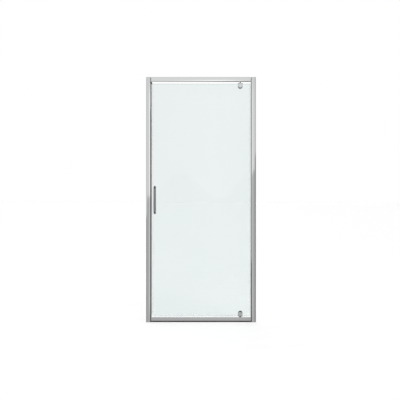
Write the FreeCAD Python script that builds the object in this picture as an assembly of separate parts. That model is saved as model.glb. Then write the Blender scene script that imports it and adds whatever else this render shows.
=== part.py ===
"""Framed pivot shower door, 850 mm wide and 1900 mm high, in millimetres.

A four-sided aluminium frame stands between two walls. Each jamb is a U section that telescopes in a
U channel screwed to its wall. A 6 mm glass leaf turns on two pins that sit 120 mm in from the right
wall: the long side swings out towards the viewer and the short tail swings in.

X runs left to right seen from outside the shower, +Y points into the shower, +Z is up. The origin is
at tray level, under the middle of the frame, in the plane of the glass. Distances called s are
measured inwards from the outer face of a wall channel.
"""

import FreeCAD, Part
import math
import os

V = FreeCAD.Vector
ALMOST = 0.999            # keeps a sliver of straight edge between two arcs that would meet
QUARTER_TURN = 90.0

# ---------------------------------------------------------------- overall
FRAME_WIDTH = 850.0
FRAME_HEIGHT = 1900.0
RUN_FIT = 0.05            # radial clearance of a turning or push fit
SEAT_GAP = 0.2            # clearance between parts that are only laid together
OVERRUN = 1.0             # how far a cut starts outside the piece it cuts
ROUND = 0.5               # small rounding on the lips of extruded seals

# ---------------------------------------------------------------- wall channels
CHANNEL_FACE = 31.0       # width seen from the front
CHANNEL_DEPTH = 34.0
CHANNEL_WALL = 1.5
CHANNEL_CORNER = 1.0
BAND = 8.0                # sloping band along the edges of the face of a channel or rail
BAND_FALL = 0.5
WALL_HOLE = 5.5
WALL_SCREW_END = 150.0    # highest and lowest wall screws from the ends
WALL_SCREW_INNER = 560.0  # spacing of the two between them
CAP_PLATE = 1.6
CAP_SKIRT = 8.0
CAP_SKIRT_REACH = 10.0
CAP_EDGE = 0.6
TRAVEL_IN = 6.0           # how far a channel slides in over its jamb
TRAVEL_OUT = 10.0         # how far it slides out

# ---------------------------------------------------------------- jambs
SLIDE_FIT = 0.4           # jamb inside channel, each side
JAMB_REVEAL = 7.6         # jamb seen beside the channel
JAMB_WALL = 1.4
JAMB_CORNER = 0.8
JAMB_BEVEL = 7.2          # width of the bevel beside the nose
JAMB_BEVEL_FALL = 2.4
JAMB_BACK_GAP = 1.5       # left behind the jamb when the channel is fully in
GROOVE_MOUTH = 5.4
GROOVE_WIDTH = 8.4
GROOVE_DEPTH = 5.0
GROOVE_LIP = 1.2
GROOVE_WALL = 1.2

# ---------------------------------------------------------------- rails
HEAD_FACE = 31.0
SILL_FACE = 27.0
SILL_LIFT = 10.0          # height of the rubber seal that carries the frame
SILL_FALL = 0.8           # fall of the sill's top towards the shower
RAIL_WALL = 1.4
RAIL_CORNER = 1.2
PORT_BOSS = 6.8           # screw port in a rail, outside
HEAD_PORT_DROP = 9.0      # port below the head rail's top
SILL_PORT_RISE = 4.8      # port above the sill rail's underside
SILL_SEAL_WIDTH = 18.0
SILL_SEAL_HOLLOW = 6.0
SILL_SEAL_WAIST = 1.5     # how far each side is drawn in
SILL_SEAL_FOOT = 3.0      # half width of the middle foot
SILL_SEAL_GROOVE = 1.2    # depth and half width of each groove underneath

# ---------------------------------------------------------------- fasteners
SCREW = 3.5               # screws that hold the frame together
SCREW_HEAD = 5.5          # hexagon head, across flats
SCREW_HEAD_HEIGHT = 2.2
CORNER_SCREW_LENGTH = 22.0
ADJUST_SCREW_REACH = 4.0  # thread showing inside the jamb
ADJUST_SCREW_S = 14.0
ADJUST_END = 300.0        # highest and lowest adjusting screws from the ends
SLOT_FIT = 0.3            # screw in its slot, each side
COVER_LENGTH = 28.0
COVER_HEIGHT = 21.0
COVER_DEPTH = 4.4
COVER_WALL = 1.2
COVER_CORNER = 4.0
COVER_EDGE = 1.0
COVER_ROOM = 1.2          # room round the screw head

# ---------------------------------------------------------------- strike side
MAGNET_PROUD = 3.6        # jamb magnet strip stands this far off the jamb
CARRIER_WIDTH = 10.0
CARRIER_EDGE = 0.8
MAGNET_SKIN = 0.9
MAGNET_WIDTH = 7.0
MAGNET_THICK = 2.0
STOP_HEIGHT = 9.0
STOP_PROUD = 4.3         # upper block past the jamb
STOP_FLUSH = 0.5          # lower block past the jamb
STOP_NOTCH = 7.0          # width of the notch in the jamb's front corner
STOP_HORN_REACH = 7.0     # stop horn behind the door, from the jamb face
STOP_HORN_LAP = 2.5       # horn past the end of the glass
STOP_HORN_BACK = 13.0     # rear face of the horn, from the glass plane
STOP_GAP = 0.4
STOP_EDGE = 1.0
STOP_TOP_DROP = 8.0       # from the head rail's underside to the upper stop
STOP_SILL_RISE = 1.5      # from the sill's top to the lower stop

# ---------------------------------------------------------------- glass
GLASS = 6.0
GLASS_GAP_HEAD = 19.5
GLASS_GAP_SILL = 11.5
GLASS_GAP_STRIKE = 12.9
GLASS_GAP_TAIL = 7.4
GLASS_CORNER = 2.0
GLASS_ARRIS = 0.6
NOTCH_WIDTH = 20.0
NOTCH_DEPTH = 24.0
NOTCH_CORNER = 4.0

# ---------------------------------------------------------------- pivots
PIVOT_INSET = 120.5       # pivot axis from the outer face of the right channel
CLAMP_WIDTH = 36.0
CLAMP_HEIGHT = 43.0
CLAMP_LIP = 4.5           # clamp past the edge of the glass
CLAMP_THICK = 10.0
CLAMP_INNER_THICK = 8.0
CLAMP_BEVEL = 2.5         # bevel seen from the front, along the sides
CLAMP_NOSE_BEVEL = 8.0    # the same at the round end
CLAMP_BEVEL_DEPTH = 4.0
CLAMP_GASKET = 0.8
GASKET_MARGIN = 0.8
CORE_FIT = 0.5            # core inside the glass notch, each side
CLAMP_SCREW = 5.0
CLAMP_SCREW_HEAD = 9.0
CLAMP_SCREW_SPACING = 10.0
CLAMP_SCREW_INSET = 15.0  # from the glass edge
CLAMP_THREAD = 6.0        # thread in the outer clamp plate
PIN = 8.0
PIN_ENTRY = 11.0          # pin inside its bush
BUSH_OUTER = 12.0
BUSH_FLANGE = 16.0
BUSH_FLANGE_THICK = 2.0
BUSH_END = 2.0            # bush beyond the end of the pin
BORE_END = 1.2            # bore beyond the end of the bush
WASHER_OUTER = 14.0
WASHER_THICK = 1.0
COLLAR = 12.5
COLLAR_HEIGHT = 4.0
PIN_STEM = 10.0
PIN_ROOT = 4.0            # turned root sunk in the core
PIN_POINT = 1.0           # chamfer at the pin's end
BEARING_LENGTH = 52.0
BEARING_CORNER = 3.0
BEARING_SCREW = 4.0
BEARING_SCREW_HEAD = 6.6
BEARING_SCREW_LENGTH = 11.0
BEARING_SCREW_OFFSET = 18.0

# ---------------------------------------------------------------- seals on the glass
SEAL_LEG = 8.0
SEAL_WALL = 1.1
SEAL_FIT = 0.1
SEAL_BASE = 1.4
SEAL_SHOULDER = 1.0       # slope from the clip to the magnet box
DOOR_MAGNET_BOX = 7.3
DOOR_MAGNET_BOX_WIDTH = 9.2
BULB = 5.6
BULB_WALL = 0.8
DRIP_WIPER = 0.9
DRIP_CLEAR = 1.2          # wiper above the sill
DRIP_FIN_REACH = 12.5
DRIP_FIN_DROP = 7.0
DRIP_FIN_TIP = 0.8
SEAL_END_GAP = 0.4

# ---------------------------------------------------------------- handle
HANDLE_S = 68.2           # handle's middle from the outer face of the left channel
HANDLE_HEIGHT = 947.0
HANDLE_CENTRES = 203.0    # between the two fixings
HANDLE_ROD = 19.0
HANDLE_BEND = 20.0        # radius of each bend, to the middle of the rod
HANDLE_REACH = 36.5       # glass to the middle of the grip
POST = 15.0               # neck of the turned collar at each foot
POST_FOOT = 17.0
POST_FOOT_HEIGHT = 3.0
POST_TAPER = 1.0
POST_LENGTH = 9.0
HANDLE_WASHER = 1.0
GLASS_HOLE = 10.0
BOLT = 6.0
BOLT_FIT = 0.1            # bolt in its sleeve and sleeve in the glass, each side
BOLT_HEAD = 10.0
BOLT_HEAD_HEIGHT = 3.5
BOLT_SOCKET = 4.0         # hexagon, across flats
BOLT_SOCKET_DEPTH = 2.0
BOLT_ENTRY = 12.0         # thread inside the rod
INNER_CAP_HEIGHT = 7.0
INNER_CAP_EDGE = 1.5

# ---------------------------------------------------------------- places worked out from the sizes
HALF_WIDTH = FRAME_WIDTH / 2
JAMB_FACE_S = CHANNEL_FACE + JAMB_REVEAL
JAMB_BACK_S = CHANNEL_WALL + TRAVEL_IN + JAMB_BACK_GAP
JAMB_HALF = CHANNEL_DEPTH / 2 - CHANNEL_WALL - SLIDE_FIT
JAMB_INNER = JAMB_HALF - JAMB_WALL
JAMB_NOSE_HALF = JAMB_HALF - JAMB_BEVEL_FALL
BEVEL_ANGLE = math.atan2(JAMB_BEVEL_FALL, JAMB_BEVEL)
NOSE_INNER = (
    JAMB_HALF - JAMB_BEVEL_FALL * (JAMB_BEVEL - JAMB_WALL) / JAMB_BEVEL
    - JAMB_WALL / math.cos(BEVEL_ANGLE)
)
GROOVE_OUTER = GROOVE_WIDTH / 2 + GROOVE_WALL
PORT_OFFSET_Y = (GROOVE_OUTER + NOSE_INNER) / 2
JAMB_TOP = FRAME_HEIGHT - CAP_PLATE - SLIDE_FIT
RAIL_END = HALF_WIDTH - JAMB_FACE_S
HEAD_UNDER = FRAME_HEIGHT - HEAD_FACE
SILL_TOP = SILL_LIFT + SILL_FACE
HEAD_PORT_Z = FRAME_HEIGHT - HEAD_PORT_DROP
SILL_PORT_Z = SILL_LIFT + SILL_PORT_RISE
MIDDLE = FRAME_HEIGHT / 2
ADJUST_HEIGHTS = (ADJUST_END, MIDDLE, FRAME_HEIGHT - ADJUST_END)

GLASS_LEFT = -RAIL_END + GLASS_GAP_STRIKE
GLASS_RIGHT = RAIL_END - GLASS_GAP_TAIL
GLASS_TOP = HEAD_UNDER - GLASS_GAP_HEAD
GLASS_BOTTOM = SILL_TOP + GLASS_GAP_SILL
GLASS_HALF = GLASS / 2
PIVOT_X = HALF_WIDTH - PIVOT_INSET
GASKET_FACE = GLASS_HALF + CLAMP_GASKET
CLIP_SLOT = GLASS_HALF + SEAL_FIT
CLIP_LEG = CLIP_SLOT + SEAL_WALL
BORE_DEPTH = PIN_ENTRY + BUSH_END + BORE_END

STOP_TOP_Z = HEAD_UNDER - STOP_TOP_DROP - STOP_HEIGHT
STOP_SILL_Z = SILL_TOP + STOP_SILL_RISE
STRIP_LOW = STOP_SILL_Z + STOP_HEIGHT + SEAT_GAP
STRIP_HIGH = STOP_TOP_Z - SEAT_GAP
HANDLE_X = -HALF_WIDTH + HANDLE_S
HANDLE_GRIP_Y = -GLASS_HALF - HANDLE_REACH
HANDLE_LEG_Y = -GLASS_HALF - HANDLE_WASHER - POST_LENGTH
POST_HEIGHTS = (HANDLE_HEIGHT - HANDLE_CENTRES / 2, HANDLE_HEIGHT + HANDLE_CENTRES / 2)


# ---------------------------------------------------------------- drawing helpers
def outline(corners, place):
    """A closed wire through corners (u, v) or (u, v, radius); place turns (u, v) into a point."""
    count = len(corners)
    starts, ends, arcs = [], [], []
    for i, corner in enumerate(corners):
        here = V(corner[0], corner[1], 0)
        radius = corner[2] if len(corner) > 2 else 0.0
        back = V(corners[i - 1][0], corners[i - 1][1], 0) - here
        ahead = V(corners[(i + 1) % count][0], corners[(i + 1) % count][1], 0) - here
        if radius == 0.0:
            starts.append(here)
            ends.append(here)
            arcs.append(None)
            continue
        half = back.getAngle(ahead) / 2
        back.normalize()
        ahead.normalize()
        reach = radius / math.tan(half)
        bisector = back + ahead
        bisector.normalize()
        middle = here + bisector * (radius / math.sin(half) - radius)
        starts.append(here + back * reach)
        ends.append(here + ahead * reach)
        arcs.append(middle)
    edges = []
    for i in range(count):
        if arcs[i] is not None:
            points = [place(p.x, p.y) for p in (starts[i], arcs[i], ends[i])]
            edges.append(Part.Arc(*points).toShape())
        a, b = ends[i], starts[(i + 1) % count]
        if a.distanceToPoint(b) > 1e-7:
            edges.append(Part.LineSegment(place(a.x, a.y), place(b.x, b.y)).toShape())
    return Part.Wire(Part.__sortEdges__(edges))


def upright(corners, z0, z1):
    """A plan outline in (x, y) pulled up from z0 to z1."""
    wire = outline(corners, lambda x, y: V(x, y, z0))
    return Part.Face(wire).extrude(V(0, 0, z1 - z0))


def lengthways(corners, x0, x1):
    """A section in (y, z) pulled along X from x0 to x1."""
    wire = outline(corners, lambda y, z: V(x0, y, z))
    return Part.Face(wire).extrude(V(x1 - x0, 0, 0))


def through(corners, y0, y1):
    """A front outline in (x, z) pulled along Y from y0 to y1."""
    wire = outline(corners, lambda x, z: V(x, y0, z))
    return Part.Face(wire).extrude(V(0, y1 - y0, 0))


def oblong(u0, u1, v0, v1, radius=0.0):
    """Corners of a rectangle, rounded if radius is given."""
    return [(u0, v0, radius), (u1, v0, radius), (u1, v1, radius), (u0, v1, radius)]


def rod(diameter, start, way):
    """A round bar from start along the vector way."""
    return Part.makeCylinder(diameter / 2, way.Length, start, way)


def ring(outer, inner, start, way):
    """A tube from start along the vector way."""
    return rod(outer, start, way).cut(rod(inner, start, way))


def turned(profile, base, way):
    """A solid of revolution about way through base. profile lists (radius, distance along way)."""
    points = [V(r, 0, h) for r, h in profile]
    solid = Part.Face(Part.makePolygon(points + points[:1])).revolve(V(0, 0, 0), V(0, 0, 1), 360)
    solid.Placement = FreeCAD.Placement(base, FreeCAD.Rotation(V(0, 0, 1), way))
    return solid


def mirrored(shape):
    """The same piece on the other side of the frame."""
    return shape.mirror(V(0, 0, 0), V(1, 0, 0))


def flat_edges(shape, axis, value):
    """Edges of shape that lie wholly where the coordinate axis ("Y" or "Z") has this value."""
    return [e for e in shape.Edges if all(abs(getattr(v, axis) - value) < 1e-6 for v in e.Vertexes)]


def both_signs(points):
    """A half section and its mirror image across y = 0, walked on as one line."""
    return points + [(p[0], -p[1], *p[2:]) for p in reversed(points)]


def left_x(s):
    """X of a distance s from the left wall."""
    return -HALF_WIDTH + s


def save(name, *solids):
    """Writes one node as a STEP file and reports its volume."""
    solids = [s.removeSplitter() for s in solids]
    shape = solids[0] if len(solids) == 1 else Part.makeCompound(solids)
    for solid in shape.Solids:
        if not solid.isValid() or solid.Volume <= 0:
            raise ValueError(f"{name} has a solid that isn't sound")
    shape.exportStep(os.path.join("parts", name + ".step"))
    print(f"{name}: {len(shape.Solids)} solid(s), {shape.Volume / 1000:.2f} cm3")


# ---------------------------------------------------------------- fasteners
def hexagon(across, depth, base, way):
    """A hexagonal prism of that depth from base along the direction way."""
    radius = across / math.sqrt(3)
    turns = [math.radians(60 * i) for i in range(6)]
    points = [V(radius * math.cos(t), radius * math.sin(t), 0) for t in turns]
    prism = Part.Face(Part.makePolygon(points + points[:1])).extrude(V(0, 0, depth))
    prism.Placement = FreeCAD.Placement(base, FreeCAD.Rotation(V(0, 0, 1), way))
    return prism


def hexagon_screw(seat, way, length):
    """A frame screw whose head stands on seat, with its shank running along way."""
    head = hexagon(SCREW_HEAD, SCREW_HEAD_HEIGHT, seat, -way)
    return head.fuse(rod(SCREW, seat, way * length))


def sunk_profile(shank, head, length, grow=0.0):
    """A countersunk screw's outline; grow widens it into the seat that takes it."""
    sink = (head - shank) / 2
    return [
        (0, 0), (head / 2 + grow, 0), (shank / 2 + grow, sink),
        (shank / 2 + grow, length + grow), (0, length + grow),
    ]


# ---------------------------------------------------------------- wall channels
def adjuster_slot(z):
    """The slot that one adjusting screw needs in the rear leg, as long as the channel's travel."""
    low, high = ADJUST_SCREW_S - TRAVEL_IN, ADJUST_SCREW_S + TRAVEL_OUT
    half = SCREW / 2 + SLOT_FIT
    inner, outer = CHANNEL_DEPTH / 2 - 2 * CHANNEL_WALL, CHANNEL_DEPTH / 2 + OVERRUN
    corners = oblong(left_x(low - half), left_x(high + half), z - half, z + half, half * ALMOST)
    return through(corners, inner, outer)


def wall_screw_heights():
    """Heights of the four wall screws, from the lowest up."""
    return [
        WALL_SCREW_END, MIDDLE - WALL_SCREW_INNER / 2, MIDDLE + WALL_SCREW_INNER / 2,
        FRAME_HEIGHT - WALL_SCREW_END,
    ]


def channel_face():
    """Front corners shared by the channel and its cap, from the wall to the inner edge."""
    front = -CHANNEL_DEPTH / 2
    return [
        (left_x(0), front + BAND_FALL, CHANNEL_CORNER),
        (left_x(BAND), front),
        (left_x(CHANNEL_FACE - BAND), front),
        (left_x(CHANNEL_FACE), front + BAND_FALL),
    ]


def wall_channel():
    """U section open towards the door, drilled for the wall and slotted for the adjusting screws."""
    half, wall = CHANNEL_DEPTH / 2, CHANNEL_WALL
    corners = channel_face() + [
        (left_x(CHANNEL_FACE), -half + wall),
        (left_x(wall), -half + wall),
        (left_x(wall), half - wall),
        (left_x(CHANNEL_FACE), half - wall),
        (left_x(CHANNEL_FACE), half),
        (left_x(0), half, CHANNEL_CORNER),
    ]
    channel = upright(corners, 0, FRAME_HEIGHT - CAP_PLATE)
    way = V(wall + 2 * OVERRUN, 0, 0)
    cuts = [rod(WALL_HOLE, V(left_x(-OVERRUN), 0, z), way) for z in wall_screw_heights()]
    cuts += [adjuster_slot(z) for z in ADJUST_HEIGHTS]
    return channel.cut(cuts)


def channel_cap():
    """Moulded cap on the channel, with a skirt that reaches down between the jamb's legs."""
    half = CHANNEL_DEPTH / 2
    base, under = FRAME_HEIGHT - CAP_PLATE, FRAME_HEIGHT - CAP_PLATE - CAP_SKIRT
    corners = channel_face() + [(left_x(CHANNEL_FACE), half), (left_x(0), half, CHANNEL_CORNER)]
    plate = upright(corners, base, FRAME_HEIGHT)
    plate = plate.makeChamfer(CAP_EDGE, flat_edges(plate, "Z", FRAME_HEIGHT))
    near = left_x(CHANNEL_WALL + SEAT_GAP)
    far = near + CAP_SKIRT_REACH
    side = JAMB_INNER - SEAT_GAP
    skirt = upright(oblong(near, far, -side, side), under, base)
    inside = side - CAP_PLATE
    hollow = upright(
        oblong(near + CAP_PLATE, far - CAP_PLATE, -inside, inside), under - OVERRUN, base
    )
    return plate.fuse(skirt.cut(hollow))


def adjuster_cover(z):
    """Moulded cover over one adjusting screw, on the channel's rear leg."""
    face = CHANNEL_DEPTH / 2
    top = face + COVER_DEPTH
    middle = left_x(ADJUST_SCREW_S + (TRAVEL_OUT - TRAVEL_IN) / 2)
    half_l, half_h = COVER_LENGTH / 2, COVER_HEIGHT / 2
    corners = oblong(middle - half_l, middle + half_l, z - half_h, z + half_h, COVER_CORNER)
    shell = through(corners, face, top)
    shell = shell.makeChamfer(COVER_EDGE, flat_edges(shell, "Y", top))
    reach, room = half_l - COVER_WALL, SCREW_HEAD / math.sqrt(3) + COVER_ROOM
    cavity = through(
        oblong(middle - reach, middle + reach, z - room, z + room), face - OVERRUN, top - COVER_WALL
    )
    return shell.cut(cavity)


# ---------------------------------------------------------------- jambs
def jamb_inner(fit=0.0):
    """Half of the hollow inside the jamb, from the open side to the groove; fit draws it in."""
    nose = left_x(JAMB_FACE_S - JAMB_WALL - fit)
    bevel = left_x(JAMB_FACE_S - JAMB_BEVEL - JAMB_WALL * math.tan(BEVEL_ANGLE / 2) - fit)
    groove = left_x(JAMB_FACE_S - GROOVE_DEPTH - GROOVE_WALL - fit)
    return [
        (left_x(JAMB_BACK_S), -JAMB_INNER + fit), (bevel, -JAMB_INNER + fit), (nose, -NOSE_INNER + fit),
        (nose, -GROOVE_OUTER - fit), (groove, -GROOVE_OUTER - fit),
    ]


def jamb():
    """U section open to the wall, bevelled beside its nose, with a T groove down the nose."""
    face = left_x(JAMB_FACE_S)
    mouth, width = GROOVE_MOUTH / 2, GROOVE_WIDTH / 2
    lip, bottom = face - GROOVE_LIP, face - GROOVE_DEPTH
    outer = both_signs([
        (left_x(JAMB_BACK_S), -JAMB_HALF), (face - JAMB_BEVEL, -JAMB_HALF),
        (face, -JAMB_NOSE_HALF, JAMB_CORNER), (face, -mouth), (lip, -mouth), (lip, -width),
        (bottom, -width),
    ])
    inner = both_signs(jamb_inner())
    section = upright(outer + inner[::-1], SILL_LIFT, JAMB_TOP)
    screw = SCREW + 2 * SEAT_GAP
    cuts = [
        rod(screw, V(face - 2 * JAMB_WALL, y, z), V(2 * JAMB_WALL + OVERRUN, 0, 0))
        for y in (-PORT_OFFSET_Y, PORT_OFFSET_Y)
        for z in (HEAD_PORT_Z, SILL_PORT_Z)
    ]
    start, bore = JAMB_INNER - OVERRUN, V(0, JAMB_WALL + 2 * OVERRUN, 0)
    cuts += [
        rod(SCREW + 2 * RUN_FIT, V(left_x(ADJUST_SCREW_S), start, z), bore) for z in ADJUST_HEIGHTS
    ]
    return section.cut(cuts)


def stop_notch(z):
    """The space a stop block takes out of the jamb's front corner."""
    face, gap = left_x(JAMB_FACE_S), SEAT_GAP / 2
    corners = oblong(face - STOP_NOTCH - gap, face + OVERRUN, -JAMB_HALF - OVERRUN, -GROOVE_MOUTH / 2)
    return upright(corners, z - gap, z + STOP_HEIGHT + gap)


def strike_jamb():
    return jamb().cut([stop_notch(STOP_SILL_Z), stop_notch(STOP_TOP_Z)])


def stop_block(z, reach):
    """Black nylon block in the notch at the jamb's front corner."""
    face, front = left_x(JAMB_FACE_S), -JAMB_HALF
    rim = -GROOVE_MOUTH / 2 - SEAT_GAP
    corners = [
        (face - STOP_NOTCH, front), (face + reach, front, STOP_EDGE), (face + reach, rim, STOP_EDGE),
        (face - STOP_NOTCH, rim),
    ]
    return upright(corners, z, z + STOP_HEIGHT)


def horned_stop_block(z, glass_edge):
    """The upper block, whose horn reaches round behind the door's seal and stops the leaf."""
    face, front = left_x(JAMB_FACE_S), -JAMB_HALF
    near, proud, back = face + RUN_FIT, face + STOP_PROUD, face + STOP_HORN_REACH
    catch = DOOR_MAGNET_BOX_WIDTH / 2 + STOP_GAP
    rim = -GROOVE_MOUTH / 2 - SEAT_GAP
    corners = [
        (face - STOP_NOTCH, front), (proud, front, STOP_EDGE), (proud, STOP_HORN_BACK),
        (near, STOP_HORN_BACK), (near, rim), (face - STOP_NOTCH, rim),
    ]
    block = upright(corners, z, z + STOP_HEIGHT)
    section = oblong(near, back, catch, STOP_HORN_BACK, STOP_EDGE)
    return block.fuse(upright(section, glass_edge - STOP_HORN_LAP, z + STOP_HEIGHT))


def hooked_strip(front, z0, z1):
    """A PVC strip whose T foot sits in a jamb's groove; front lists half of what lies past the foot."""
    face = left_x(JAMB_FACE_S)
    mouth, width = GROOVE_MOUTH / 2 - SEAT_GAP, GROOVE_WIDTH / 2 - SEAT_GAP
    lip, bottom = face - GROOVE_LIP - SEAT_GAP, face - GROOVE_DEPTH + SEAT_GAP
    half = [(bottom, -width, ROUND), (lip, -width), (lip, -mouth), *front(face, mouth)]
    return upright(both_signs(half), z0, z1)


def magnet_carrier():
    """Strip in the strike jamb with a box for its magnet."""
    tip, side = left_x(JAMB_FACE_S) + MAGNET_PROUD, CARRIER_WIDTH / 2

    def box(face, mouth):
        base = face + RUN_FIT
        return [(base, -mouth), (base, -side), (tip, -side, CARRIER_EDGE)]

    strip = hooked_strip(box, STRIP_LOW, STRIP_HIGH)
    return strip.cut(magnet_bar(tip - MAGNET_SKIN, -1, STRIP_LOW - OVERRUN, STRIP_HIGH + OVERRUN, RUN_FIT))


def strike_magnet():
    return magnet_bar(left_x(JAMB_FACE_S) + MAGNET_PROUD - MAGNET_SKIN, -1, STRIP_LOW, STRIP_HIGH)


def magnet_bar(face_x, way, z0, z1, grow=0.0):
    """Flexible magnet behind a skin at face_x; it lies on the side that way points to."""
    a, b = sorted((face_x - way * grow, face_x + way * (MAGNET_THICK + grow)))
    side = MAGNET_WIDTH / 2 + grow
    return upright(oblong(a, b, -side, side), z0, z1)


def groove_filler():
    """Strip that fills the pivot jamb's groove, flush with its face."""
    return hooked_strip(
        lambda face, mouth: [(face, -mouth)], SILL_TOP + SEAT_GAP, HEAD_UNDER - SEAT_GAP
    )


def jamb_cap():
    """Moulded plate that closes the jamb's top between its legs, clear of the channel cap's skirt."""
    near = left_x(CHANNEL_WALL + 2 * SEAT_GAP + CAP_SKIRT_REACH + TRAVEL_IN)
    half = [(near, -JAMB_INNER + RUN_FIT), *jamb_inner(RUN_FIT)[1:]]
    return upright(both_signs(half), JAMB_TOP - CAP_PLATE, JAMB_TOP)


# ---------------------------------------------------------------- rails
def bored_rail(section, port_z, cuts):
    """Adds a screw port inside each side wall of a hollow rail, bores both and makes the other cuts."""
    half, low, high = PORT_BOSS / 2, -RAIL_END, RAIL_END
    for side in (-1, 1):
        y0, y1 = sorted((side * (PORT_OFFSET_Y - half), side * (JAMB_HALF - RAIL_WALL / 2)))
        section = section.fuse(lengthways(oblong(y0, y1, port_z - half, port_z + half), low, high))
        hole = V(low - OVERRUN, side * PORT_OFFSET_Y, port_z)
        cuts.append(rod(SCREW + 2 * RUN_FIT, hole, V(high - low + 2 * OVERRUN, 0, 0)))
    return section.cut(cuts)


def head_rail():
    """Hollow rail with a sloping band along the lower edge of its face."""
    half, wall = JAMB_HALF, RAIL_WALL
    outer = lengthways(
        [
            (-half + BAND_FALL, HEAD_UNDER), (half, HEAD_UNDER, RAIL_CORNER),
            (half, FRAME_HEIGHT, RAIL_CORNER), (-half, FRAME_HEIGHT, RAIL_CORNER), (-half, HEAD_UNDER + BAND),
        ],
        -RAIL_END, RAIL_END,
    )
    hollow = lengthways(
        oblong(-half + BAND_FALL + wall, half - wall, HEAD_UNDER + wall, FRAME_HEIGHT - wall),
        -RAIL_END, RAIL_END,
    )
    return bored_rail(outer.cut(hollow), HEAD_PORT_Z, bearing_cuts(HEAD_UNDER, 1))


def sill_rail():
    """Hollow threshold whose top falls a little towards the shower, so that water runs back in."""
    half, wall = JAMB_HALF, RAIL_WALL
    rear = SILL_TOP - SILL_FALL
    outer = lengthways(
        [
            (-half + BAND_FALL, SILL_LIFT), (half, SILL_LIFT, RAIL_CORNER), (half, rear, RAIL_CORNER),
            (BUSH_FLANGE / 2 + SEAT_GAP, SILL_TOP), (-half, SILL_TOP, RAIL_CORNER),
            (-half, SILL_LIFT + BAND),
        ],
        -RAIL_END, RAIL_END,
    )
    hollow = lengthways(
        oblong(-half + BAND_FALL + wall, half - wall, SILL_LIFT + wall, rear - wall),
        -RAIL_END, RAIL_END,
    )
    return bored_rail(outer.cut(hollow), SILL_PORT_Z, bearing_cuts(SILL_TOP, -1))


def bearing_cuts(surface, way):
    """Holes for the bush and its two screws, in the rail and in the block; way is +1 up from surface."""
    start = V(PIVOT_X, 0, surface - way * OVERRUN)
    bush = rod(BUSH_OUTER + 2 * RUN_FIT, start, V(0, 0, way * (BORE_DEPTH + OVERRUN)))
    profile = sunk_profile(BEARING_SCREW, BEARING_SCREW_HEAD, BEARING_SCREW_LENGTH, RUN_FIT)
    screws = [
        turned(profile, V(PIVOT_X + dx, 0, surface), V(0, 0, way))
        for dx in (-BEARING_SCREW_OFFSET, BEARING_SCREW_OFFSET)
    ]
    return [bush, *screws]


def sill_seal():
    """Dark rubber bulb seal that carries the frame on the tray, with two grooves underneath."""
    side = SILL_SEAL_WIDTH / 2
    waist = side - SILL_SEAL_WAIST
    end = HALF_WIDTH - JAMB_BACK_S - SEAT_GAP
    groove = [
        (SILL_SEAL_FOOT, 0), (SILL_SEAL_FOOT + SILL_SEAL_GROOVE, SILL_SEAL_GROOVE),
        (SILL_SEAL_FOOT + 2 * SILL_SEAL_GROOVE, 0),
    ]
    strip = lengthways(
        [
            *[(-y, z) for y, z in reversed(groove)], *groove,
            (side, 0, SILL_SEAL_GROOVE), (waist, SILL_LIFT / 2), (side, SILL_LIFT), (-side, SILL_LIFT),
            (-waist, SILL_LIFT / 2), (-side, 0, SILL_SEAL_GROOVE),
        ],
        -end, end,
    )
    start = V(-end - OVERRUN, 0, SILL_LIFT / 2)
    return strip.cut(rod(SILL_SEAL_HOLLOW, start, V(2 * (end + OVERRUN), 0, 0)))


def corner_screws():
    """Two screws at each end of each rail, driven from inside the jamb."""
    seat = RAIL_END + JAMB_WALL
    return [
        hexagon_screw(V(side * seat, y, z), V(-side, 0, 0), CORNER_SCREW_LENGTH)
        for side in (-1, 1)
        for y in (-PORT_OFFSET_Y, PORT_OFFSET_Y)
        for z in (HEAD_PORT_Z, SILL_PORT_Z)
    ]


def adjuster_screws():
    """Screws through the channel's slots into the left jamb's rear leg."""
    seat = CHANNEL_DEPTH / 2 + SEAT_GAP
    length = seat - JAMB_INNER + ADJUST_SCREW_REACH
    return [
        hexagon_screw(V(left_x(ADJUST_SCREW_S), seat, z), V(0, -1, 0), length)
        for z in ADJUST_HEIGHTS
    ]


# ---------------------------------------------------------------- bearings
def bearing_block(surface, way, port_z, gap):
    """Moulded block between a rail's inner face and its screw ports, bored for the bush."""
    side = JAMB_HALF - RAIL_WALL - BAND_FALL - SEAT_GAP
    near = surface + way * (RAIL_WALL + gap)
    far = port_z - way * (PORT_BOSS / 2 + SEAT_GAP)
    half = BEARING_LENGTH / 2
    corners = oblong(PIVOT_X - half, PIVOT_X + half, -side, side, BEARING_CORNER)
    return upright(corners, min(near, far), max(near, far)).cut(bearing_cuts(surface, way))


def bearing_bush(surface, way):
    """Flanged bush; its flange lies on the rail and its mouth faces the door."""
    bore, outer, flange = PIN / 2 + RUN_FIT, BUSH_OUTER / 2, BUSH_FLANGE / 2
    end = PIN_ENTRY + BUSH_END
    profile = [
        (bore, -BUSH_FLANGE_THICK), (flange, -BUSH_FLANGE_THICK), (flange, 0), (outer, 0), (outer, end),
        (bore, end),
    ]
    return turned(profile, V(PIVOT_X, 0, surface), V(0, 0, way))


def bearing_screws(surface, way):
    profile = sunk_profile(BEARING_SCREW, BEARING_SCREW_HEAD, BEARING_SCREW_LENGTH)
    return [
        turned(profile, V(PIVOT_X + dx, 0, surface), V(0, 0, way))
        for dx in (-BEARING_SCREW_OFFSET, BEARING_SCREW_OFFSET)
    ]


def thrust_washer():
    """Steel ring between the lower bush and the collar that carries the door."""
    z = SILL_TOP + BUSH_FLANGE_THICK
    return ring(WASHER_OUTER, PIN + 2 * SEAT_GAP, V(PIVOT_X, 0, z), V(0, 0, WASHER_THICK))


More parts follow.
